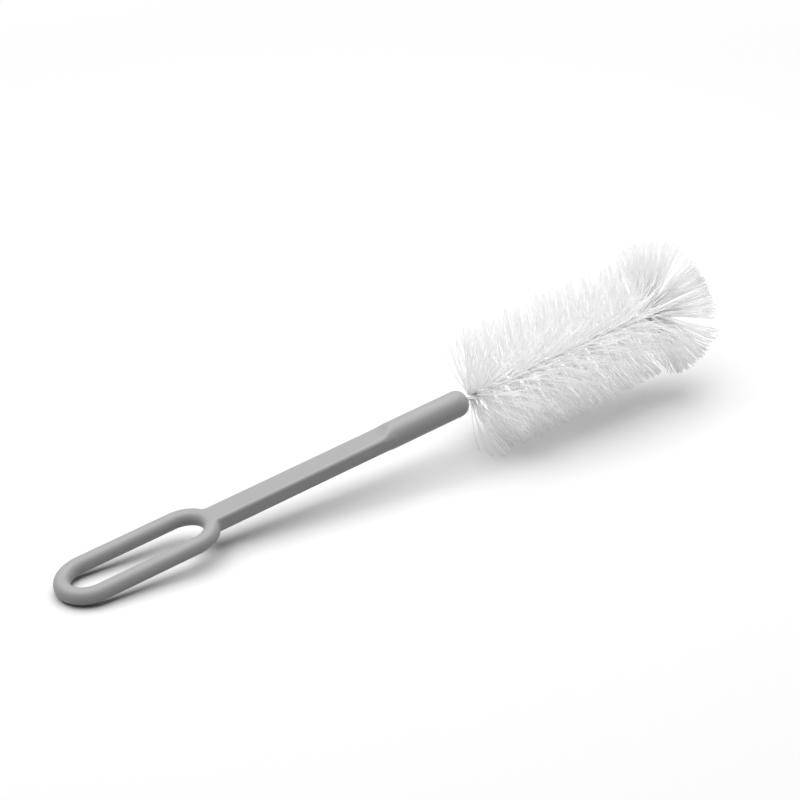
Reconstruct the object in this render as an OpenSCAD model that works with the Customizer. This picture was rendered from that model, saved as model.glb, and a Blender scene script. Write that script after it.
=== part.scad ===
// Bottle brush: a moulded handle with a long hanging ring, a twisted wire stem set into its
// neck, and a round head of nylon bristles held in the twist, with a splayed tuft at the tip.
// It lies as it comes to rest: on the end of its ring and on the rear edge of its head.

/* [Handle] */
// Width of the hanging ring, outside to outside
ring_width = 29; // [24:0.5:36]
// Length of the hanging ring, outside to outside
ring_length = 69.6; // [56:0.2:84]
// Thickness of the round rod that the ring is made of
ring_rod = 6.8; // [5:0.1:8]
// Width of the flat-sided shaft, and diameter of the round neck
neck_width = 11.4; // [9:0.1:14]
// Thickness of the shaft between its two flats
shaft_thickness = 6.6; // [5:0.1:7]
// Radius along the four long edges of the shaft
shaft_edge_radius = 1.5; // [0.8:0.1:2.2]
// Length of the handle from the ring's outer end to the neck's outer end
handle_length = 188.8; // [170:0.2:210]
// Length of the round neck beyond the flats
neck_length = 37.8; // [28:0.2:50]
// Radius of the scoop in which each flat runs out to the round neck
scoop_radius = 18.5; // [10:0.5:24]
// Radius of the rounded end of the neck
neck_end_radius = 4.6; // [2:0.1:5]
// Radius of the hollow corners between ring and shaft
web_radius = 4; // [3:0.5:5]

/* [Wire] */
// Diameter of the steel wire
wire_diameter = 1.7; // [1.4:0.05:2]
// Length of one full turn of the twist
twist_pitch = 14; // [12:0.5:20]
// Slot between the two strands, where the bristles are held
strand_slot = 0.4; // [0.3:0.05:0.5]
// Length of the twisted wire inside the neck
wire_in_neck = 20; // [12:1:30]
// Length of the twisted wire outside the neck
wire_out = 101.2; // [80:0.2:120]

/* [Bristles] */
// Radius of the bristle head
head_radius = 27.3; // [20:0.1:32]
// Radius of the head just behind the tip tuft
head_radius_front = 25.6; // [18:0.1:32]
// Length of the bristles in the tip tuft
tuft_length = 30; // [22:0.5:36]
// Bare wire between the neck and the first bristles
bare_wire = 1.9; // [1:0.1:6]
// Angle that the head's bristles lean towards the tip
head_lean = 13; // [0:1:16]
// Angle that the bristles of one step open to on each side of the twist
head_fan = 84; // [40:2:100]
// Number of steps of bristles along the head
head_steps = 152; // [80:2:152]
// Number of steps of bristles in the tip tuft
tuft_steps = 24; // [10:2:24]

/* [Hidden] */

// Everything is drawn along the handle's own axis: X runs from the ring to the tip, with zero
// at the centre of the ring's outer end, and Z is square to the flat of the ring.
rod_r = ring_rod / 2;
ring_r = (ring_width - ring_rod) / 2;          // radius of the rod's centre line
ring_pitch = ring_length - ring_width;         // between the centres of the ring's two ends
ring_back = ring_r + rod_r;
neck_r = neck_width / 2;
shaft_half = shaft_thickness / 2;
web_rod_r = rod_r - 0.12;                      // a shade thinner than what it joins
neck_end_x = handle_length - ring_back;
neck_start_x = neck_end_x - neck_length;
scoop_rise = neck_r - shaft_half;
scoop_run = sqrt(2 * scoop_radius * scoop_rise - scoop_rise * scoop_rise);
flats_end_x = neck_start_x - scoop_run;
tip_x = neck_end_x + wire_out;                 // where the wire folds back
roots_x = neck_end_x + bare_wire;

// Twisted pair
wire_r = wire_diameter / 2;
strand_r = wire_r + strand_slot / 2;           // from the twist's axis to a strand's centre
socket_r = strand_r + wire_r + 0.03;
wire_sides = 6;
rings_per_turn = 10;

// Band of bristle roots between the strands: narrow in the slot, wider outside it
band_r = 2.4;
band_half = 0.7;
slot_half = 0.14;
rows = 3;                                      // bristles of one step on each side of the twist
tip_half = 0.22;                               // half the thickness of a bristle at its tip
clump_steps = 4;                               // bristles of so many steps lean together
rear_steps = 5;                                // steps at the head's back that fan out
rear_fan = [0, 34];                            // least and most lean there
sag = 5;                                       // less lean on top, more underneath
below = 7;                                     // more length for those that point straight down
tuft_band = 6;                                 // length of wire that carries the tip tuft
tuft_flare = 2.4;                              // extra height of the band at the tuft's root
tuft_turn = 57;                                // plane that most of the tuft lies in
tuft_fan = 44;                                 // how far its loosest bristles open round it
side_bundle = [-8, 50];                        // leans of the tuft's two side bundles
front_bundle = [60, 90];                       // and of the front one between them
front_share = 0.28;                            // share of the tuft in the front bundle
most_turn = 74;                                // from the band's edge to a bristle

// Rest: the ring's end and the head's rear edge both touch the table
head_back = roots_x + ring_r;
rest_tilt = acos(rod_r / norm([head_back, head_radius])) - atan(head_back / head_radius);
axis_height = ring_r * sin(rest_tilt) + rod_r; // of the ring's centre above the table
front_x = tip_x + tuft_length;
middle_x = cos(rest_tilt) * (front_x - ring_back) / 2 - 0.6;

// Lays a piece drawn along the handle's axis down on the table, with the origin on the table
// under the middle of the brush.
module at_rest() {
    translate([-middle_x, 0, axis_height]) rotate([0, -rest_tilt, 0]) children();
}

// Height above the table of a point drawn along the handle's axis
function table_height(p) = axis_height + p[0] * sin(rest_tilt) + p[2] * cos(rest_tilt);

/* Handle */

// Corner points of the shaft's section: a bar with four rounded edges
function bar_section(half_w, half_h, r, n = 8) = [
    for (corner = [0:3], i = [0:n])
        let (a = 90 * corner + 90 * i / n,
             sy = (corner == 0 || corner == 3) ? 1 : -1,
             sz = corner < 2 ? 1 : -1)
        [sy * (half_w - r) + r * cos(a), sz * (half_h - r) + r * sin(a)]
];

module along_x(from, to) {
    translate([from, 0, 0]) rotate([90, 0, 90]) linear_extrude(to - from) children();
}

module half_ring(x, start) {
    translate([x, 0, 0]) rotate([0, 0, start])
        rotate_extrude(angle = 180, $fn = 96) translate([ring_r, 0]) circle(rod_r, $fn = 48);
}

module ring() {
    half_ring(0, 90);
    half_ring(ring_pitch, -90);
    for (side = [-1, 1]) translate([0, side * ring_r, 0])
        rotate([0, 90, 0]) cylinder(h = ring_pitch, r = rod_r, $fn = 48);
}

module shaft() {
    // the bar's edges stand a little proud of the round neck and taper down to it
    edge_reach = norm([neck_r - shaft_edge_radius, shaft_half - shaft_edge_radius])
        + shaft_edge_radius;
    intersection() {
        along_x(ring_pitch + ring_r, neck_start_x)
            polygon(bar_section(neck_r, shaft_half, shaft_edge_radius));
        rotate([0, 90, 0]) rotate_extrude($fn = 96) polygon([
            [0, ring_pitch], [edge_reach + 1, ring_pitch], [edge_reach + 0.1, flats_end_x],
            [neck_r - 0.1, neck_start_x + 1], [0, neck_start_x + 1]]);
    }
}

module neck() {
    // a round bar with a rounded outer end
    flat_r = neck_r - neck_end_radius;
    barrel = neck_end_x - flats_end_x - neck_end_radius;
    translate([flats_end_x, 0, 0]) rotate([0, 90, 0]) {
        cylinder(h = barrel, r = neck_r, $fn = 72);
        translate([0, 0, barrel]) rotate_extrude($fn = 72) {
            square([flat_r, neck_end_radius]);
            intersection() {
                translate([flat_r, 0]) circle(neck_end_radius, $fn = 72);
                square([neck_r, neck_end_radius]);
            }
        }
    }
}

// What is cut away above a flat: a level floor that rises in a scoop to the round neck
module above_flat() {
    top = shaft_half + scoop_rise + 1;
    steep = acos(1 - (top - shaft_half) / scoop_radius);
    scoop = [for (i = [0:16]) let (a = steep * i / 16)
        [flats_end_x + scoop_radius * sin(a), shaft_half + scoop_radius * (1 - cos(a))]];
    rotate([90, 0, 0]) linear_extrude(4 * neck_r, center = true)
        polygon(concat([[flats_end_x - 1, top], [flats_end_x - 1, shaft_half]], scoop));
}

module web() {
    // the corner between ring and shaft is a piece of the same round rod, bent the other way
    bend_r = web_radius + rod_r;
    off_y = neck_r + web_radius;
    off_x = sqrt(pow(ring_r + bend_r, 2) - off_y * off_y);
    sweep = atan2(off_x, off_y);
    inner_bend = [for (i = [0:8]) let (a = 270 - sweep * i / 8)
        [off_x + bend_r * cos(a), off_y + bend_r * sin(a)]];
    for (side = [0, 1]) translate([ring_pitch, 0, 0]) mirror([0, side, 0]) {
        translate([off_x, off_y, 0]) rotate([0, 0, 270 - sweep]) rotate_extrude(angle = sweep, $fn = 96)
            translate([bend_r, 0]) circle(web_rod_r, $fn = 48);
        translate([0, 0, -web_rod_r]) linear_extrude(2 * web_rod_r)
            polygon(concat([[ring_r, 0], [off_x, 0]], inner_bend));
    }
}

module handle() {
    color([0.62, 0.62, 0.62]) at_rest() difference() {
        union() {
            ring();
            shaft();
            web();
            difference() {
                neck();
                above_flat();
                mirror([0, 0, 1]) above_flat();
            }
        }
        translate([neck_end_x - wire_in_neck, 0, 0]) rotate([0, 90, 0])
            cylinder(h = wire_in_neck + 1, r = socket_r, $fn = 48);
    }
}

/* Twisted wire */

// Turn of the twist at a place along the axis, in degrees
function twist(x) = 360 * (x - neck_end_x) / twist_pitch;

// The wire's centre line goes out along one strand, round the fold at the tip, and back along
// the other. Each entry is a point and the direction away from the twist's axis there.
function strand_point(x, side) =
    let (a = twist(x) + 90 + 180 * side, out = [0, cos(a), sin(a)])
    [[x, 0, 0] + strand_r * out, out];

function fold_point(b) =
    let (a = twist(tip_x) + 90, out = [sin(b), cos(b) * cos(a), cos(b) * sin(a)])
    [[tip_x, 0, 0] + strand_r * out, out];

wire_start_x = neck_end_x - wire_in_neck + 0.5;
strand_rings = round((tip_x - wire_start_x) / twist_pitch * rings_per_turn);
strand_xs = [for (i = [0:strand_rings - 1])
    wire_start_x + (tip_x - wire_start_x) * i / strand_rings];
wire_line = concat(
    [for (i = [0:strand_rings - 1]) strand_point(strand_xs[i], 0)],
    [for (b = [0:30:180]) fold_point(b)],
    [for (i = [strand_rings - 1:-1:0]) strand_point(strand_xs[i], 1)]);

function unit(v) = v / norm(v);

module core_wire() {
    count = len(wire_line);
    points = [for (i = [0:count - 1])
        let (here = wire_line[i],
             along = unit(wire_line[min(i + 1, count - 1)][0] - wire_line[max(i - 1, 0)][0]),
             side = unit(cross(along, here[1])),
             out = cross(side, along))
        for (k = [0:wire_sides - 1]) let (a = 360 * k / wire_sides)
            here[0] + wire_r * (cos(a) * out + sin(a) * side)];
    walls = [for (i = [0:count - 2], k = [0:wire_sides - 1])
        let (a = i * wire_sides + k, b = i * wire_sides + (k + 1) % wire_sides)
        each [[a, b + wire_sides, b], [a, a + wire_sides, b + wire_sides]]];
    last = (count - 1) * wire_sides;
    ends = [[for (k = [0:wire_sides - 1]) k], [for (k = [wire_sides - 1:-1:0]) last + k]];
    color([0.75, 0.76, 0.78]) at_rest() polyhedron(points, concat(walls, ends));
}

/* Bristles */

// One closed skin: the band of roots that is held in the twist, each cell of whose two long
// edges is drawn out into one bristle.
head_end_x = tip_x - tuft_band;
band_xs = concat(
    [for (i = [0:head_steps - 1]) roots_x + (head_end_x - roots_x) * i / head_steps],
    [for (i = [0:tuft_steps]) head_end_x + (tuft_band - 0.2) * i / tuft_steps]);
steps = len(band_xs) - 1;
loop = 2 * (rows + 1) + 2;                      // points round the band at one place
cells = 2 * rows;                              // bristles at one step

// The band is as high as the twist is thick, and rises to a peak at the root of the tuft
function band_height(x) = band_r + tuft_flare * max(0, 1 - abs(x - head_end_x) / tuft_band);

// Points round the band: one edge, the slot, the other edge, the slot
function band_section(r) = concat(
    [for (j = [0:rows]) [r, band_half * (2 * j / rows - 1)]], [[0, slot_half]],
    [for (j = [0:rows]) [-r, band_half * (1 - 2 * j / rows)]], [[0, -slot_half]]);

function across(x, p, q) = let (a = twist(x)) [x, p * cos(a) - q * sin(a), p * sin(a) + q * cos(a)];

// Evenly mixed numbers from 0 to 1, and seeded ones from -1 to 1
function mixed(n) = let (v = n * 0.61803399) v - floor(v);
turn_jitter = rands(-1, 1, steps * cells, 11);
lean_jitter = rands(-1, 1, steps * cells, 23);
length_jitter = rands(-1, 1, steps * cells, 37);
clump_jitter = rands(-1, 1, steps, 53);

function between(ends, share) = ends[0] + (ends[1] - ends[0]) * share;

// Radius of the head along its length, full at the back and a little less before the tuft
function envelope(x) = let (t = (x - roots_x) / (head_end_x - roots_x))
    head_radius - (head_radius - head_radius_front) * pow(max(t, 0), 3);

// How far a bristle of the tuft leans towards the tip
function tuft_lean(share) = share < front_share
    ? between(front_bundle, share / front_share)
    : between(side_bundle, (share - front_share) / (1 - front_share));

// From the turn of the band's edge to a tuft bristle, which lies near the tuft's plane
function tuft_open(edge_turn, spread) =
    let (a = tuft_turn + spread - edge_turn, near = a - 180 * round(a / 180))
    max(-most_turn, min(most_turn, near));

// The direction nearest to another one that is square to a given one
function square_to(way, other) = unit(other - (other * way) * way);

// The four corners of a bristle's tip. Each bristle leads from its place on the band's edge to
// a tip that is measured from the axis: from beside its root in the head, and from the fold of
// the wire in the tuft. One that would pass through the table ends on it.
function bristle_tip(step, cell) =
    let (n = step * cells + cell,
         x = (band_xs[step] + band_xs[step + 1]) / 2,
         far = cell < rows ? 0 : 1,
         edge_turn = twist(x) + 180 * far,
         spot = ((cell % rows) * 2 + 1 + turn_jitter[n]) / rows - 1,
         in_tuft = x > head_end_x,
         opened = min(1, (step + 1) / rear_steps) * head_fan / 2,
         a = edge_turn + (in_tuft ? tuft_open(edge_turn, spot * abs(spot) * tuft_fan / 2)
                                  : spot * opened),
         clump = clump_jitter[2 * floor(step / clump_steps) + far],
         lean = in_tuft ? tuft_lean(mixed(n))
              : step < rear_steps ? between(rear_fan, mixed(n)) + 3 * sin(a)
              : head_lean + 2 * lean_jitter[n] + 2.5 * clump - sag * sin(a),
         long = (in_tuft ? tuft_length : envelope(x) / cos(head_lean) + below * max(0, -sin(a) - 0.8))
             + 0.7 * length_jitter[n],
         root = [x, band_height(x) * cos(edge_turn), band_height(x) * sin(edge_turn)],
         aim = [in_tuft ? tip_x : x, 0, 0]
             + long * [sin(lean), cos(lean) * cos(a), cos(lean) * sin(a)],
         way = unit(aim - root),
         across_band = [0, -sin(edge_turn), cos(edge_turn)],
         sideways = abs(way[0]) < abs(way * across_band),
         u = sideways ? square_to(way, [1, 0, 0]) : cross(way, square_to(way, across_band)),
         v = cross(u, way),
         up = [sin(rest_tilt), 0, cos(rest_tilt)],
         corner_drop = tip_half * (abs(u * up) + abs(v * up)),
         low = table_height(aim) - corner_drop,
         high = table_height(root) - corner_drop,
         tip = low >= 0 ? aim : root + (aim - root) * high / (high - low))
    [for (k = [[-1, -1], [1, -1], [1, 1], [-1, 1]]) tip + tip_half * (k[0] * u + k[1] * v)];

module bristles() {
    corners = [for (x = band_xs, s = band_section(band_height(x))) across(x, s[0], s[1])];
    tips = [for (i = [0:steps - 1], c = [0:cells - 1]) each bristle_tip(i, c)];
    skin = [for (i = [0:steps - 1], j = [0:loop - 1])
        let (a = i * loop + j, b = i * loop + (j + 1) % loop,
             cell = j < rows ? j : (j > rows + 1 && j < loop - 2) ? j - 2 : -1,
             base = [a, a + loop, b + loop, b],
             tip = len(corners) + 4 * (i * cells + cell))
        each cell < 0
            ? [[base[0], base[1], base[2]], [base[0], base[2], base[3]]]
            : concat([[tip, tip + 1, tip + 2], [tip, tip + 2, tip + 3]],
                     [for (k = [0:3]) each let (m = (k + 1) % 4)
                         [[base[k], base[m], tip + m], [base[k], tip + m, tip + k]]])];
    half = [for (j = [0:rows + 1]) j];
    other_half = [for (j = [rows + 1:loop - 1]) j];
    first = [concat(half, [loop - 1]), other_half];
    last = [for (f = first) [for (k = [len(f) - 1:-1:0]) steps * loop + f[k]]];
    color([0.96, 0.96, 0.96]) at_rest() polyhedron(concat(corners, tips), concat(skin, first, last));
}

handle();
core_wire();
bristles();
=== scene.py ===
import math

import bpy
import numpy as np
from mathutils import Matrix, Vector


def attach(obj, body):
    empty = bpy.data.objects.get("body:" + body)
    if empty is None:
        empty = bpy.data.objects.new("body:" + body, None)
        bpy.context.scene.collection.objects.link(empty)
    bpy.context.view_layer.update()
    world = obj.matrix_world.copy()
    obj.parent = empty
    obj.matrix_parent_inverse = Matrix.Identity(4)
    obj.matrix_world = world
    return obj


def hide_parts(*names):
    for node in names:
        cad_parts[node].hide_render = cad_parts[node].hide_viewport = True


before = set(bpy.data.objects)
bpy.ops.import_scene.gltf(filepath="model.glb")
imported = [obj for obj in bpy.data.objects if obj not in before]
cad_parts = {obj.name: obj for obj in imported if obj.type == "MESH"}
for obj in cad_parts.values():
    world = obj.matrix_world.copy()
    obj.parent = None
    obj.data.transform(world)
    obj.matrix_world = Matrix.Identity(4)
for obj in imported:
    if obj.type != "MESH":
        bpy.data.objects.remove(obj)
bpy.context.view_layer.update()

MM = 0.001

# ---------------------------------------------------------------- the brush's own dimensions, mm
# Drawn along the handle's axis, as in the CAD source: x runs from the ring to the tip with zero
# at the centre of the ring's outer end, and z is square to the flat of the ring.
RING_ROD_R = 3.4
RING_R = 11.1                      # radius of the rod's centre line
RING_PITCH = 40.6                  # between the centres of the ring's two ends
NECK_R = 5.7
EDGE_R = 1.5                       # along the shaft's four long edges
SCOOP_R = 18.5
NECK_END_X = 174.3
NECK_START_X = 136.5
NECK_END_R = 4.6
NECK_OVERLAP = 12.0                # how far the neck's round bar runs back inside the shaft
SCOOP_EDGE_R = 0.8                 # along the edges of the neck's flats
SHAFT_HALF = 3.3                   # half the shaft's thickness
EDGE_GROWTH = 1.0                  # that the shaft's edge radius gains where it meets the neck
EDGE_GROWTH_X = (2.5, 0.5)         # from the end of the flats, and up to the round neck
SHAFT_NECK_FILL_R = 0.5
WEB_R = 0.9                        # fill between ring and shaft
WEB_FADE_X = (60.0, 75.0)          # where that fill ends along the shaft
SMALLEST_R = 0.01                  # what is left of it there, since no fill has a radius of nought
RING_TOP_X = 70.0                  # up to here nothing stands above the ring's rod
RING_TOP_EDGE_R = 0.3
SOCKET_GAP = 0.05
SOCKET_SHOWN = 6.0                 # depth of the mouth round the wire
SOCKET_LIP_R = 0.35
SKIN = 0.02                        # how far the surface stays inside the solid's
HANDLE_STEP = 0.42                 # cell of the grid that the handle's mesh is made on
HANDLE_LOW = (-15.3, -15.3, -6.5)
HANDLE_HIGH = (175.3, 15.3, 6.5)
WIRE_R = 0.85
STRAND_R = 1.05                    # from the twist's axis to a strand's centre
TWIST_PITCH = 14.0
WIRE_IN_NECK = 19.5
WIRE_POINTS = 330                  # along each strand
FOLD_POINTS = 16
WIRE_SIDES = 18
TIP_X = 275.5
ROOTS_X = 176.2
HEAD_R = 27.3
HEAD_R_FRONT = 25.6
TUFT_BAND = 6.0
TUFT_LENGTH = 30.0
TUFT_TRIM = 0.45                   # off the tuft's filaments, so that they stay in the solid's box
MIDDLE_SHIFT = 0.6                 # of the origin, from the middle between ring and tip

SCOOP_RISE = NECK_R - SHAFT_HALF
FLATS_END_X = NECK_START_X - math.sqrt(2 * SCOOP_R * SCOOP_RISE - SCOOP_RISE ** 2)
HEAD_END_X = TIP_X - TUFT_BAND

# The brush lies on the end of its ring and the rear edge of its head.
HEAD_BACK = ROOTS_X + RING_R
REST_TILT = (math.acos(RING_ROD_R / math.hypot(HEAD_BACK, HEAD_R))
             - math.atan2(HEAD_BACK, HEAD_R))
AXIS_HEIGHT = RING_R * math.sin(REST_TILT) + RING_ROD_R
FRONT_X = TIP_X + TUFT_LENGTH
MIDDLE_X = math.cos(REST_TILT) * (FRONT_X - RING_R - RING_ROD_R) / 2 - MIDDLE_SHIFT


def at_rest(points):
    """Points drawn along the handle's axis in mm, laid down on the table in metres."""
    p = np.asarray(points, float)
    c, s = math.cos(REST_TILT), math.sin(REST_TILT)
    return np.stack([c * p[..., 0] - s * p[..., 2] - MIDDLE_X,
                     p[..., 1],
                     s * p[..., 0] + c * p[..., 2] + AXIS_HEIGHT], -1) * MM


def new_mesh(name, verts, faces):
    """A mesh object from an (n, 3) array of points and an array of faces with equal corners."""
    mesh = bpy.data.meshes.new(name)
    faces = np.asarray(faces)
    corners = faces.shape[1]
    mesh.vertices.add(len(verts))
    mesh.vertices.foreach_set("co", np.asarray(verts, np.float32).ravel())
    mesh.loops.add(faces.size)
    mesh.loops.foreach_set("vertex_index", faces.astype(np.int32).ravel())
    mesh.polygons.add(len(faces))
    mesh.polygons.foreach_set("loop_start", np.arange(len(faces), dtype=np.int32) * corners)
    mesh.polygons.foreach_set("use_smooth", np.full(len(faces), True))
    mesh.update(calc_edges=True)
    mesh.validate()
    obj = bpy.data.objects.new(name, mesh)
    bpy.context.scene.collection.objects.link(obj)
    return obj


# ---------------------------------------------------------------- handle: a blended solid
def round_max(a, b, r):
    """Where both solids are, with the edge between them rounded to radius r."""
    return np.minimum(-r, np.maximum(a, b)) + np.hypot(np.maximum(r + a, 0), np.maximum(r + b, 0))


def round_min(a, b, r):
    """Where either solid is, with the corner between them filled to radius r."""
    return np.maximum(r, np.minimum(a, b)) - np.hypot(np.maximum(r - a, 0), np.maximum(r - b, 0))


def smooth_step(x, low, high):
    t = np.clip((x - low) / (high - low), 0, 1)
    return t * t * (3 - 2 * t)


def handle_distance(p):
    """Distance from the handle's surface in mm, negative inside the plastic."""
    x, y, z = p[..., 0], p[..., 1], p[..., 2]
    across = np.hypot(y, z)
    # ring: round rod along a stadium
    along = np.clip(x, 0, RING_PITCH)
    ring = np.hypot(np.hypot(x - along, y) - RING_R, z) - RING_ROD_R
    # shaft: a bar with rounded edges
    level = np.abs(z) - SHAFT_HALF
    edge = EDGE_R + EDGE_GROWTH * smooth_step(x, FLATS_END_X + EDGE_GROWTH_X[0],
                                              NECK_START_X - EDGE_GROWTH_X[1])
    shaft = round_max(np.abs(y) - NECK_R, level, edge)
    shaft = np.maximum(shaft, np.maximum(RING_PITCH + RING_R - x, x - NECK_START_X))
    # neck: a round bar whose flats rise out of the shaft's in a scoop
    scoop = SCOOP_R - np.hypot(x - FLATS_END_X, np.abs(z) - SHAFT_HALF - SCOOP_R)
    flat = np.where(x < FLATS_END_X, level, scoop)
    neck = round_max(across - NECK_R, flat, SCOOP_EDGE_R)
    neck = round_max(neck, x - NECK_END_X, NECK_END_R)
    neck = np.maximum(neck, FLATS_END_X - NECK_OVERLAP - x)
    whole = round_min(shaft, neck, SHAFT_NECK_FILL_R)
    whole = round_min(ring, whole, WEB_R * (1 - smooth_step(x, *WEB_FADE_X)) + SMALLEST_R)
    below_top = round_max(whole, np.abs(z) - RING_ROD_R, RING_TOP_EDGE_R)
    whole = np.where(x < RING_TOP_X, below_top, whole)
    # socket round the twisted wire
    socket = np.maximum(across - STRAND_R - WIRE_R - SOCKET_GAP, NECK_END_X - SOCKET_SHOWN - x)
    return round_max(whole, -socket, SOCKET_LIP_R) + SKIN


def surface_nets(field, low, high, step):
    """A closed quad mesh on the zero surface of a distance field, one vertex per crossed cell."""
    axes = [np.arange(a, b + step, step) for a, b in zip(low, high)]
    grid = np.stack(np.meshgrid(*axes, indexing="ij"), -1)
    value = field(grid)
    inside = value < 0
    cells = tuple(n - 1 for n in value.shape)
    total, count = np.zeros(cells + (3,)), np.zeros(cells)
    edges = []
    for axis in range(3):
        n = [slice(None)] * 3
        m = [slice(None)] * 3
        n[axis], m[axis] = slice(0, -1), slice(1, None)
        a, b = value[tuple(n)], value[tuple(m)]
        crossed = inside[tuple(n)] != inside[tuple(m)]
        t = np.where(crossed, a / np.where(crossed, a - b, 1), 0)
        place = grid[tuple(n)].copy()
        place[..., axis] += t * step
        edges.append((crossed, inside[tuple(n)]))
        other = [k for k in range(3) if k != axis]
        for i in (0, 1):
            for j in (0, 1):
                w = [slice(None)] * 3
                w[other[0]] = slice(i, i + cells[other[0]])
                w[other[1]] = slice(j, j + cells[other[1]])
                hit = crossed[tuple(w)]
                total += place[tuple(w)] * hit[..., None]
                count += hit
    used = count > 0
    index = np.full(cells, -1)
    index[used] = np.arange(used.sum())
    verts = total[used] / count[used][:, None]
    quads = []
    for axis in range(3):
        crossed, starts_inside = edges[axis]
        u, v = [(1, 2), (2, 0), (0, 1)][axis]
        where = np.argwhere(crossed)
        ok = (where[:, u] > 0) & (where[:, v] > 0)
        ok &= (where[:, u] < cells[u]) & (where[:, v] < cells[v])
        where = where[ok]
        ring = []
        for du, dv in ((-1, -1), (0, -1), (0, 0), (-1, 0)):
            c = where.copy()
            c[:, u] += du
            c[:, v] += dv
            ring.append(index[c[:, 0], c[:, 1], c[:, 2]])
        ring = np.stack(ring, 1)
        flip = ~starts_inside[tuple(where.T)]
        ring[flip] = ring[flip][:, ::-1]
        quads.append(ring)
    return verts, np.concatenate(quads)


def settle_on(field, verts, rounds=4, small=0.02):
    """Moves points onto the zero surface along the field's slope."""
    for _ in range(rounds):
        d = field(verts)
        slope = np.stack([(field(verts + small * e) - field(verts - small * e)) / (2 * small)
                          for e in np.eye(3)], -1)
        length2 = np.maximum((slope ** 2).sum(-1), 0.25)
        verts = verts - np.clip(d / length2, -0.3, 0.3)[:, None] * slope
    return verts


def make_handle():
    verts, quads = surface_nets(handle_distance, HANDLE_LOW, HANDLE_HIGH, HANDLE_STEP)
    verts = settle_on(handle_distance, verts)
    obj = new_mesh("handle_moulding", at_rest(verts), quads)
    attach(obj, "root")
    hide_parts("handle")
    return obj


# ---------------------------------------------------------------- tubes along lines
def tube_faces(rings, sides):
    """Triangles of one closed tube: its wall, and a fan over each end."""
    r, k = np.meshgrid(np.arange(rings - 1), np.arange(sides), indexing="ij")
    a = r * sides + k
    b = r * sides + (k + 1) % sides
    wall = np.concatenate([np.stack([a, b, b + sides], -1).reshape(-1, 3),
                           np.stack([a, b + sides, a + sides], -1).reshape(-1, 3)])
    fan = np.arange(1, sides - 1)
    first = np.stack([np.zeros_like(fan), fan + 1, fan], -1)
    last = (rings - 1) * sides + np.stack([np.zeros_like(fan), fan, fan + 1], -1)
    return np.concatenate([wall, first, last])


def tubes(name, lines, radius, sides, outward=None):
    """One mesh of closed tubes. lines is (tubes, points, 3) in mm along the handle's axis, and
    outward gives each point a direction to start the section from."""
    n, m, _ = lines.shape
    ahead = np.gradient(lines, axis=1)
    ahead /= np.linalg.norm(ahead, axis=2, keepdims=True)
    if outward is None:
        mean = lines[:, -1] - lines[:, 0]
        helper = np.where(np.abs(mean[:, :1]) > 0.8 * np.linalg.norm(mean, axis=1)[:, None],
                          [[0.0, 0.0, 1.0]], [[1.0, 0.0, 0.0]])
        outward = np.repeat(helper[:, None], m, 1)
    side = np.cross(ahead, outward)
    side /= np.linalg.norm(side, axis=2, keepdims=True)
    up = np.cross(side, ahead)
    a = 2 * math.pi * np.arange(sides) / sides
    section = (np.cos(a)[:, None] * up[:, :, None] - np.sin(a)[:, None] * side[:, :, None])
    verts = lines[:, :, None] + radius * section
    one = tube_faces(m, sides)
    faces = (one[None] + (np.arange(n) * m * sides)[:, None, None]).reshape(-1, 3)
    return new_mesh(name, at_rest(verts.reshape(-1, 3)), faces)


def twist(x):
    return 2 * math.pi * (x - NECK_END_X) / TWIST_PITCH


def make_wire():
    """One wire, folded at the tip: out along one strand, round the fold and back."""
    xs = np.linspace(NECK_END_X - WIRE_IN_NECK, TIP_X, WIRE_POINTS)[:-1]
    line, outward = [], []
    for side in (0, 1):
        a = twist(xs) + math.pi / 2 + math.pi * side
        out = np.stack([0 * xs, np.cos(a), np.sin(a)], -1)
        run = np.stack([xs, 0 * xs, 0 * xs], -1) + STRAND_R * out
        line.append(run if side == 0 else run[::-1])
        outward.append(out if side == 0 else out[::-1])
        if side == 0:
            b = np.linspace(0, math.pi, FOLD_POINTS)
            end = twist(TIP_X) + math.pi / 2
            out = np.stack([np.sin(b), np.cos(b) * math.cos(end), np.cos(b) * math.sin(end)], -1)
            line.append([TIP_X, 0, 0] + STRAND_R * out)
            outward.append(out)
    line, outward = np.concatenate(line)[None], np.concatenate(outward)[None]
    obj = tubes("twisted_wire", line, WIRE_R, WIRE_SIDES, outward)
    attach(obj, "root")
    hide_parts("core_wire")
    return obj


# ---------------------------------------------------------------- filaments
# They follow the rule of the CAD source's bristles, with more steps in the tuft and a wider fan.
# A second set with other seeds thickens the head, mostly at its back and in the tuft.
FILAMENT_R = 0.19
FILAMENT_SIDES = 5
HEAD_STEPS = 148
TUFT_STEPS = 28
ROWS = 3                           # filaments at one step on each side of the twist
BAND_R = 2.4
CLUMP_STEPS = 4
HEAD_FAN = math.radians(140)
LEAN_SPREAD = math.radians(1.2)
CLUMP_SPREAD = math.radians(1.2)
HEAD_LEAN = math.radians(13)       # of the head's filaments towards the tip
SAG = math.radians(5)              # less lean on top, more underneath
REAR_STEPS = 5
EXTRA_REAR_STEPS = 9               # within these every extra filament is kept, beyond one in two
REAR_LEAN = math.radians(34)       # most lean of the filaments that fan out at the back
REAR_SAG = math.radians(3)
BELOW = 7.0                        # more length for those that point straight down
BELOW_FROM = 0.8                   # sine of the angle below level from which they get it
UNEVEN = 0.7                       # how far lengths differ to either side
TABLE_GAP = 0.03
TUFT_FLARE = 2.4
TUFT_END_GAP = 0.2                 # between the last filaments and the wire's fold
TUFT_TURN = math.radians(57)       # plane that most of the tuft lies in
TUFT_FAN = math.radians(44)
SIDE_BUNDLE = (-5, 50)             # leans of the tuft's two side bundles, and of the front one
FRONT_BUNDLE = (60, 90)
FRONT_SHARE = 0.28
REAR_CROWDING = 1.3
MOST_TURN = math.radians(74)       # from the slot to a filament of the tuft
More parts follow.
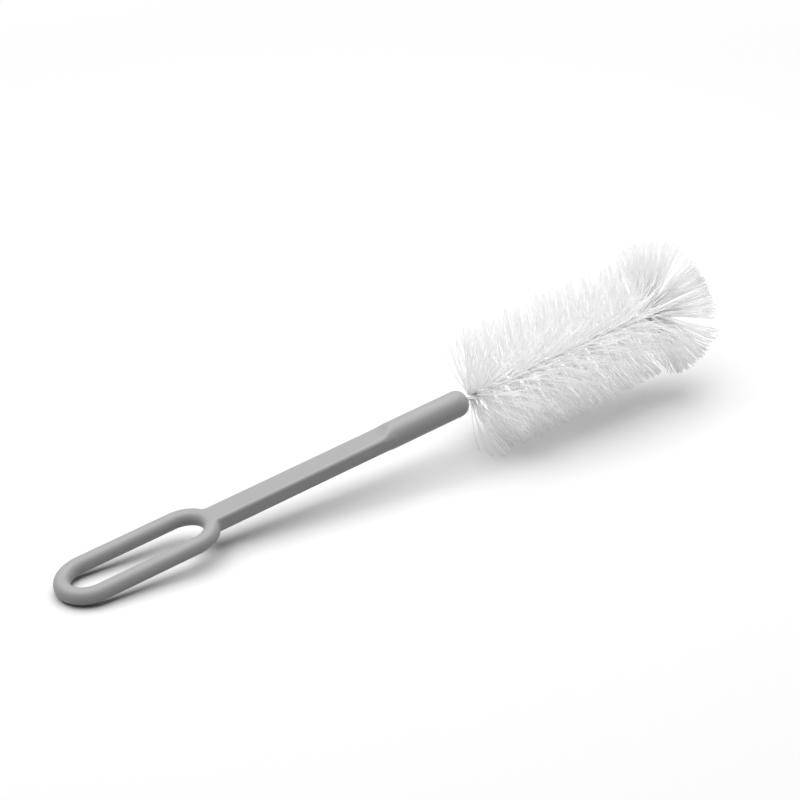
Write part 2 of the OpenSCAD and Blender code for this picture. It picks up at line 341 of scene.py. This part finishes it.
GOLDEN = 0.61803399                # spreads the leans of neighbours evenly
EXTRA_SHIFT = 0.31                 # of the second set's leans from the first's
SPOT_SEED, LEAN_SEED, LENGTH_SEED, CLUMP_SEED = 11, 23, 37, 53
EXTRA_SEED = 100                   # added to the first three for the second set
ROOT_PULL = 0.5                    # how far out to the twist's edge a filament starts straight
ROOT_RISE = 0.06                   # and how far on towards its tip
STEM_LEAN = 0.8                    # share of the lean that is missing near the root
BENDS = (0, 0.1, 0.22, 0.36, 0.52, 0.7, 0.86, 1)    # where the points lie along a filament


def seeded(count, seed):
    """Random numbers from -1 to 1, the same that the CAD source draws from such a seed."""
    raw = np.random.RandomState(seed).randint(0, 2 ** 32, 2 * count, dtype=np.uint32)
    raw = raw.astype(float)
    return (raw[0::2] + raw[1::2] * 2.0 ** 32) / 2.0 ** 63 - 1


def between(ends, share):
    return ends[0] + (ends[1] - ends[0]) * share


def envelope(x):
    """Radius of the head along its length."""
    t = np.clip((x - ROOTS_X) / (HEAD_END_X - ROOTS_X), 0, 1)
    return HEAD_R - (HEAD_R - HEAD_R_FRONT) * t ** 3


def table_height(p):
    return AXIS_HEIGHT + p[..., 0] * math.sin(REST_TILT) + p[..., 2] * math.cos(REST_TILT)


def around(x, r, turn):
    """Points at radius r and an angle round the axis."""
    return np.stack([x, r * np.cos(turn), r * np.sin(turn)], -1)


def filament_ends(extra):
    """Each filament's place on the axis, on the edge of the twist and at its tip, its lean, its
    turn round the axis, and whether it is in the tuft."""
    edges = np.concatenate([
        ROOTS_X + (HEAD_END_X - ROOTS_X) * np.arange(HEAD_STEPS) / HEAD_STEPS,
        HEAD_END_X + (TUFT_BAND - TUFT_END_GAP) * np.arange(TUFT_STEPS + 1) / TUFT_STEPS])
    steps = len(edges) - 1
    n = np.arange(steps * 2 * ROWS)
    step, cell = n // (2 * ROWS), n % (2 * ROWS)
    x = (edges[step] + edges[step + 1]) / 2
    far = cell // ROWS
    slot_turn = twist(x) + math.pi * far
    spot = ((cell % ROWS) * 2 + 1 + seeded(len(n), SPOT_SEED + EXTRA_SEED * extra)) / ROWS - 1
    mixed = (n * GOLDEN + EXTRA_SHIFT * extra) % 1
    in_tuft = x > HEAD_END_X
    # turn round the axis
    opened = spot * np.minimum(1, (step + 1) / REAR_STEPS) * HEAD_FAN / 2
    to_plane = TUFT_TURN + spot * np.abs(spot) * TUFT_FAN / 2 - slot_turn
    to_plane = np.clip(to_plane - math.pi * np.round(to_plane / math.pi), -MOST_TURN, MOST_TURN)
    turn = slot_turn + np.where(in_tuft, to_plane, opened)
    # lean towards the tip
    clump = seeded(steps, CLUMP_SEED)[2 * (step // CLUMP_STEPS) + far]
    lean_jitter = seeded(len(n), LEAN_SEED + EXTRA_SEED * extra)
    body = HEAD_LEAN + LEAN_SPREAD * lean_jitter + CLUMP_SPREAD * clump - SAG * np.sin(turn)
    rear = REAR_LEAN * mixed + REAR_SAG * np.sin(turn)
    side_share = np.maximum(0, (mixed - FRONT_SHARE) / (1 - FRONT_SHARE)) ** REAR_CROWDING
    tuft = np.radians(np.where(mixed < FRONT_SHARE, between(FRONT_BUNDLE, mixed / FRONT_SHARE),
                               between(SIDE_BUNDLE, side_share)))
    lean = np.where(in_tuft, tuft, np.where(step < REAR_STEPS, rear, body))
    head_length = (envelope(x) / math.cos(HEAD_LEAN)
                   + BELOW * np.maximum(0, -np.sin(turn) - BELOW_FROM))
    length = (np.where(in_tuft, TUFT_LENGTH - TUFT_TRIM, head_length)
              + UNEVEN * seeded(len(n), LENGTH_SEED + EXTRA_SEED * extra))
    edge_r = BAND_R + TUFT_FLARE * np.maximum(0, 1 - np.abs(x - HEAD_END_X) / TUFT_BAND)
    root = around(x, edge_r, slot_turn)
    start = np.where(in_tuft, TIP_X, x)
    tip = around(start + length * np.sin(lean), length * np.cos(lean), turn)
    # a filament that would pass through the table ends on it
    clear = FILAMENT_R + TABLE_GAP
    high, low = table_height(root) - clear, table_height(tip) - clear
    tip = root + (tip - root) * np.where(low < 0, high / (high - low), 1)[:, None]
    ends = around(x, 0 * x, 0 * x), root, tip, lean, turn, in_tuft
    if not extra:
        return ends
    keep = (n % 2 == 0) | (step < EXTRA_REAR_STEPS) | in_tuft
    return tuple(part[keep] for part in ends)


def make_bristles():
    sets = (filament_ends(0), filament_ends(1))
    axis, root, tip, lean, turn, in_tuft = (np.concatenate(both) for both in zip(*sets))
    # from the slot each filament runs out square to the wire, and bends over to its lean
    reach = 0.5 * np.linalg.norm(tip - axis, axis=1)
    start_lean = np.where(in_tuft, lean, lean - HEAD_LEAN * STEM_LEAN)
    middle = axis + around(reach * np.sin(start_lean), reach * np.cos(start_lean), turn)
    middle = np.where(in_tuft[:, None], (root + tip) / 2, middle)
    s = np.array(BENDS)[None, :, None]
    near = axis + (root - axis) * ROOT_PULL + (tip - root) * ROOT_RISE
    lines = ((1 - s) ** 3 * axis[:, None] + 3 * s * (1 - s) ** 2 * near[:, None]
             + 3 * s * s * (1 - s) * middle[:, None] + s ** 3 * tip[:, None])
    parts = np.where(in_tuft, 2, (axis[:, 0] > (ROOTS_X + HEAD_END_X) / 2).astype(int))
    pieces = []
    for i, name in enumerate(("head_filaments_1", "head_filaments_2", "tip_tuft_filaments")):
        group = lines[parts == i]
        obj = tubes(name, group, FILAMENT_R, FILAMENT_SIDES)
        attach(obj, "root")
        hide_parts("bristles")
        pieces.append(obj)
    return pieces


# ---------------------------------------------------------------- materials
def new_material(name):
    mat = bpy.data.materials.new(name)
    mat.use_nodes = True
    nodes, links = mat.node_tree.nodes, mat.node_tree.links
    return mat, nodes, links, nodes["Principled BSDF"]


def handle_plastic():
    mat, nodes, links, bsdf = new_material("grey_moulded_plastic")
    bsdf.inputs["Roughness"].default_value = 0.42
    bsdf.inputs["Specular IOR Level"].default_value = 0.45
    coords = nodes.new("ShaderNodeTexCoord")
    cloud = nodes.new("ShaderNodeTexNoise")
    cloud.inputs["Scale"].default_value = 60.0
    cloud.inputs["Detail"].default_value = 3.0
    tint = nodes.new("ShaderNodeMapRange")
    tint.inputs["To Min"].default_value = 0.402
    tint.inputs["To Max"].default_value = 0.424
    combine = nodes.new("ShaderNodeCombineColor")
    links.new(coords.outputs["Object"], cloud.inputs["Vector"])
    links.new(cloud.outputs["Fac"], tint.inputs["Value"])
    for channel in ("Red", "Green", "Blue"):
        links.new(tint.outputs["Result"], combine.inputs[channel])
    links.new(combine.outputs["Color"], bsdf.inputs["Base Color"])
    grain = nodes.new("ShaderNodeTexNoise")
    grain.inputs["Scale"].default_value = 2500.0
    grain.inputs["Detail"].default_value = 2.0
    bump = nodes.new("ShaderNodeBump")
    bump.inputs["Strength"].default_value = 0.12
    bump.inputs["Distance"].default_value = 0.00005
    links.new(coords.outputs["Object"], grain.inputs["Vector"])
    links.new(grain.outputs["Fac"], bump.inputs["Height"])
    links.new(bump.outputs["Normal"], bsdf.inputs["Normal"])
    return mat


def steel():
    mat, nodes, links, bsdf = new_material("drawn_steel_wire")
    bsdf.inputs["Metallic"].default_value = 1.0
    coords = nodes.new("ShaderNodeTexCoord")
    streak = nodes.new("ShaderNodeTexNoise")
    streak.inputs["Scale"].default_value = 900.0
    rough = nodes.new("ShaderNodeMapRange")
    rough.inputs["To Min"].default_value = 0.22
    rough.inputs["To Max"].default_value = 0.38
    links.new(coords.outputs["Object"], streak.inputs["Vector"])
    links.new(streak.outputs["Fac"], rough.inputs["Value"])
    links.new(rough.outputs["Result"], bsdf.inputs["Roughness"])
    tint = nodes.new("ShaderNodeValToRGB")
    tint.color_ramp.elements[0].color = (0.86, 0.86, 0.87, 1)
    tint.color_ramp.elements[1].color = (0.94, 0.94, 0.95, 1)
    links.new(streak.outputs["Fac"], tint.inputs["Fac"])
    links.new(tint.outputs["Color"], bsdf.inputs["Base Color"])
    return mat


def nylon():
    mat, nodes, links, bsdf = new_material("white_nylon_filament")
    bsdf.inputs["Roughness"].default_value = 0.35
    bsdf.inputs["Specular IOR Level"].default_value = 0.5
    bsdf.inputs["Transmission Weight"].default_value = 0.0
    bsdf.inputs["IOR"].default_value = 1.53
    geometry = nodes.new("ShaderNodeNewGeometry")
    tint = nodes.new("ShaderNodeMapRange")
    tint.inputs["To Min"].default_value = 0.99
    tint.inputs["To Max"].default_value = 1.0
    combine = nodes.new("ShaderNodeCombineColor")
    links.new(geometry.outputs["Random Per Island"], tint.inputs["Value"])
    for channel in ("Red", "Green", "Blue"):
        links.new(tint.outputs["Result"], combine.inputs[channel])
    links.new(combine.outputs["Color"], bsdf.inputs["Base Color"])
    through = nodes.new("ShaderNodeBsdfTranslucent")
    links.new(combine.outputs["Color"], through.inputs["Color"])
    both = nodes.new("ShaderNodeMixShader")
    both.inputs["Fac"].default_value = 0.9
    links.new(bsdf.outputs["BSDF"], both.inputs[1])
    links.new(through.outputs["BSDF"], both.inputs[2])
    links.new(both.outputs["Shader"], nodes["Material Output"].inputs["Surface"])
    return mat


# ---------------------------------------------------------------- stage, light and camera
FLOOR_SIZE = 6.0
FLOOR_SEEN = 0.93
FLOOR_BOUNCE = 0.43
BACKDROP_FROM, BACKDROP_TO = 0.35, 0.85    # m from the middle: where the floor turns white
WORLD_LIGHT = 0.02                 # what the world throws on the brush
WORLD_SEEN = 0.5                   # what glosses and nylon show of it
SOFTBOX_PLACE = (0.0, 0.2, 1.5)
SOFTBOX_SIZE = (2.4, 2.1)
SOFTBOX_WATTS = 42.5


def background_rays(nodes, links):
    """1 for the rays that show the background: from the camera, a gloss or through nylon."""
    path = nodes.new("ShaderNodeLightPath")
    seen = path.outputs["Is Camera Ray"]
    for kind in ("Is Glossy Ray", "Is Transmission Ray"):
        either = nodes.new("ShaderNodeMath")
        either.operation = "MAXIMUM"
        links.new(seen, either.inputs[0])
        links.new(path.outputs[kind], either.inputs[1])
        seen = either.outputs["Value"]
    return seen


def make_floor():
    h = FLOOR_SIZE / 2
    floor = new_mesh("floor", [(-h, -h, 0), (h, -h, 0), (h, h, 0), (-h, h, 0)], [(0, 1, 2, 3)])
    mat, nodes, links, bsdf = new_material("white_floor")
    bsdf.inputs["Roughness"].default_value = 1.0
    bsdf.inputs["Specular IOR Level"].default_value = 0.0
    # seen directly, in a reflection or through nylon the floor is white; what it throws back is grey
    shade = nodes.new("ShaderNodeMix")
    shade.data_type = "RGBA"
    shade.inputs["A"].default_value = (FLOOR_BOUNCE,) * 3 + (1,)
    shade.inputs["B"].default_value = (FLOOR_SEEN,) * 3 + (1,)
    background = background_rays(nodes, links)
    links.new(background, shade.inputs["Factor"])
    links.new(shade.outputs["Result"], bsdf.inputs["Base Color"])
    # away from the brush and its shadow it runs out into a white backdrop
    coords = nodes.new("ShaderNodeTexCoord")
    away = nodes.new("ShaderNodeVectorMath")
    away.operation = "LENGTH"
    fade = nodes.new("ShaderNodeMapRange")
    fade.interpolation_type = "SMOOTHSTEP"
    fade.inputs["From Min"].default_value = BACKDROP_FROM
    fade.inputs["From Max"].default_value = BACKDROP_TO
    shown = nodes.new("ShaderNodeMath")
    shown.operation = "MULTIPLY"
    backdrop = nodes.new("ShaderNodeEmission")
    both = nodes.new("ShaderNodeMixShader")
    links.new(coords.outputs["Object"], away.inputs[0])
    links.new(away.outputs["Value"], fade.inputs["Value"])
    links.new(fade.outputs["Result"], shown.inputs[0])
    links.new(background, shown.inputs[1])
    links.new(shown.outputs["Value"], both.inputs["Fac"])
    links.new(bsdf.outputs["BSDF"], both.inputs[1])
    links.new(backdrop.outputs["Emission"], both.inputs[2])
    links.new(both.outputs["Shader"], nodes["Material Output"].inputs["Surface"])
    floor.data.materials.append(mat)


def area_light(name, place, aim, size, watts):
    data = bpy.data.lights.new(name, "AREA")
    data.shape = "RECTANGLE"
    data.size, data.size_y = size
    data.energy = watts
    obj = bpy.data.objects.new(name, data)
    bpy.context.scene.collection.objects.link(obj)
    obj.location = place
    obj.rotation_mode = "QUATERNION"
    obj.rotation_quaternion = (Vector(aim) - Vector(place)).to_track_quat("-Z", "Y")


def make_light():
    area_light("overhead_softbox", SOFTBOX_PLACE, (0, 0, 0), SOFTBOX_SIZE, SOFTBOX_WATTS)
    world = bpy.data.worlds.new("studio")
    bpy.context.scene.world = world
    world.use_nodes = True
    nodes, links = world.node_tree.nodes, world.node_tree.links
    nodes["Background"].inputs["Color"].default_value = (1, 1, 1, 1)
    strength = nodes.new("ShaderNodeMapRange")
    strength.inputs["To Min"].default_value = WORLD_LIGHT
    strength.inputs["To Max"].default_value = WORLD_SEEN
    links.new(background_rays(nodes, links), strength.inputs["Value"])
    # the camera sees it white
    path = nodes.new("ShaderNodeLightPath")
    seen = nodes.new("ShaderNodeMath")
    seen.operation = "MAXIMUM"
    links.new(strength.outputs["Result"], seen.inputs[0])
    links.new(path.outputs["Is Camera Ray"], seen.inputs[1])
    links.new(seen.outputs["Value"], nodes["Background"].inputs["Strength"])


# The camera looks down on the brush from beside its ring.
CAMERA_AIM = (-0.0026, 0.0, 0.0368)
CAMERA_DISTANCE = 0.7588
CAMERA_AZIMUTH = 30.54             # degrees from +Y towards +X that it looks along
CAMERA_ELEVATION = 27.64
CAMERA_ROLL = -3.05
CAMERA_LENS = 83.73


def make_camera():
    data = bpy.data.cameras.new("camera")
    data.lens = CAMERA_LENS
    data.sensor_width = 36.0
    data.clip_start, data.clip_end = 0.01, 20.0
    camera = bpy.data.objects.new("camera", data)
    bpy.context.scene.collection.objects.link(camera)
    az, el = math.radians(CAMERA_AZIMUTH), math.radians(CAMERA_ELEVATION)
    look = Vector((math.sin(az) * math.cos(el), math.cos(az) * math.cos(el), -math.sin(el)))
    level = look.to_track_quat("-Z", "Y").to_matrix()
    turned = level @ Matrix.Rotation(math.radians(CAMERA_ROLL), 3, "Z")
    camera.rotation_mode = "QUATERNION"
    camera.rotation_quaternion = turned.to_quaternion()
    camera.location = Vector(CAMERA_AIM) - CAMERA_DISTANCE * look
    bpy.context.scene.camera = camera


# ---------------------------------------------------------------- build
make_camera()
make_light()
make_floor()
handle = make_handle()
handle.data.materials.append(handle_plastic())
wire = make_wire()
wire.data.materials.append(steel())
nylon_material = nylon()
for bundle in make_bristles():
    bundle.data.materials.append(nylon_material)

bpy.context.scene.view_settings.view_transform = "Standard"
